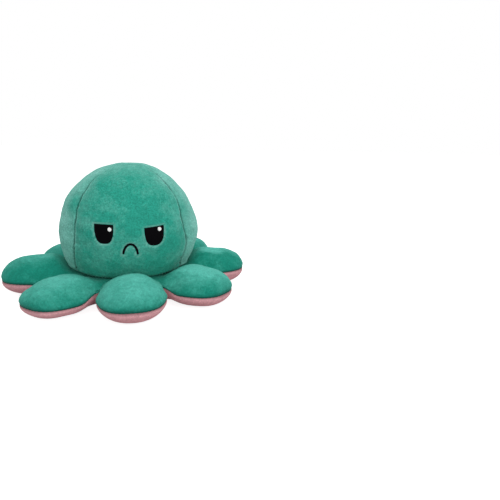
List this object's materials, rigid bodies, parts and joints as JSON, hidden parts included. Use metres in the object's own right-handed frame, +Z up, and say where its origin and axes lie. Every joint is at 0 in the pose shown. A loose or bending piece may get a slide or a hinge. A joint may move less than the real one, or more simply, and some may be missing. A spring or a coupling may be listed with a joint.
{
  "type": "plush octopus",
  "caption": "Reversible plush octopus: round stuffed head with an embroidered frown on a ring of short stuffed tentacles, contrasting underside and a pocket inside the head.",
  "frame": {"origin": "centre of the footprint on the surface that the toy stands on", "axes": "+Z up through the crown of the head, -Y towards the face, +X to the right of someone who looks at the face"},
  "size_m": [0.2056, 0.2056, 0.1115],
  "materials": {
    "teal_plush": "short brushed polyester pile",
    "pink_plush": "short brushed polyester pile",
    "fibre_filling": "loose polyester fibre",
    "black_thread": "satin stitched embroidery thread",
    "white_thread": "satin stitched embroidery thread"
  },
  "bodies": {
    "head": {"head_panel_front": "teal_plush", "head_panel_right": "teal_plush", "head_panel_back": "teal_plush", "head_panel_left": "teal_plush", "lining_panel_front": "pink_plush", "lining_panel_right": "pink_plush", "lining_panel_back": "pink_plush", "lining_panel_left": "pink_plush", "head_stuffing": "fibre_filling", "tentacle_ring_top": "teal_plush", "tentacle_ring_under": "pink_plush", "eye_left": "black_thread", "eye_glint_left": "white_thread", "eye_right": "black_thread", "eye_glint_right": "white_thread", "mouth": "black_thread", "lining_eye_left": "black_thread", "lining_eye_glint_left": "white_thread", "lining_eye_right": "black_thread", "lining_eye_glint_right": "white_thread", "lining_mouth": "black_thread"},
    "tentacle_front": {"tentacle_top_front": "teal_plush", "tentacle_under_front": "pink_plush", "tentacle_stuffing_front": "fibre_filling"},
    "tentacle_front_left": {"tentacle_top_front_left": "teal_plush", "tentacle_under_front_left": "pink_plush", "tentacle_stuffing_front_left": "fibre_filling"},
    "tentacle_left": {"tentacle_top_left": "teal_plush", "tentacle_under_left": "pink_plush", "tentacle_stuffing_left": "fibre_filling"},
    "tentacle_back_left": {"tentacle_top_back_left": "teal_plush", "tentacle_under_back_left": "pink_plush", "tentacle_stuffing_back_left": "fibre_filling"},
    "tentacle_back": {"tentacle_top_back": "teal_plush", "tentacle_under_back": "pink_plush", "tentacle_stuffing_back": "fibre_filling"},
    "tentacle_back_right": {"tentacle_top_back_right": "teal_plush", "tentacle_under_back_right": "pink_plush", "tentacle_stuffing_back_right": "fibre_filling"},
    "tentacle_right": {"tentacle_top_right": "teal_plush", "tentacle_under_right": "pink_plush", "tentacle_stuffing_right": "fibre_filling"},
    "tentacle_front_right": {"tentacle_top_front_right": "teal_plush", "tentacle_under_front_right": "pink_plush", "tentacle_stuffing_front_right": "fibre_filling"}
  },
  "joints": [
    {"name": "tentacle_front_fold", "type": "hinge", "parent": "head", "child": "tentacle_front", "pos_m": [0, -0.06435, 0.0125], "axis": [-1, 0, 0], "range_deg": [-45, 45], "stiffness_Nm_per_rad": 0.01},
    {"name": "tentacle_front_left_fold", "type": "hinge", "parent": "head", "child": "tentacle_front_left", "pos_m": [-0.0455, -0.0455, 0.0125], "axis": [-0.7071, 0.7071, 0], "range_deg": [-45, 45], "stiffness_Nm_per_rad": 0.01},
    {"name": "tentacle_left_fold", "type": "hinge", "parent": "head", "child": "tentacle_left", "pos_m": [-0.06435, 0, 0.0125], "axis": [0, 1, 0], "range_deg": [-45, 45], "stiffness_Nm_per_rad": 0.01},
    {"name": "tentacle_back_left_fold", "type": "hinge", "parent": "head", "child": "tentacle_back_left", "pos_m": [-0.0455, 0.0455, 0.0125], "axis": [0.7071, 0.7071, 0], "range_deg": [-45, 45], "stiffness_Nm_per_rad": 0.01},
    {"name": "tentacle_back_fold", "type": "hinge", "parent": "head", "child": "tentacle_back", "pos_m": [0, 0.06435, 0.0125], "axis": [1, 0, 0], "range_deg": [-45, 45], "stiffness_Nm_per_rad": 0.01},
    {"name": "tentacle_back_right_fold", "type": "hinge", "parent": "head", "child": "tentacle_back_right", "pos_m": [0.0455, 0.0455, 0.0125], "axis": [0.7071, -0.7071, 0], "range_deg": [-45, 45], "stiffness_Nm_per_rad": 0.01},
    {"name": "tentacle_right_fold", "type": "hinge", "parent": "head", "child": "tentacle_right", "pos_m": [0.06435, 0, 0.0125], "axis": [0, -1, 0], "range_deg": [-45, 45], "stiffness_Nm_per_rad": 0.01},
    {"name": "tentacle_front_right_fold", "type": "hinge", "parent": "head", "child": "tentacle_front_right", "pos_m": [0.0455, -0.0455, 0.0125], "axis": [-0.7071, -0.7071, 0], "range_deg": [-45, 45], "stiffness_Nm_per_rad": 0.01}
  ]
}
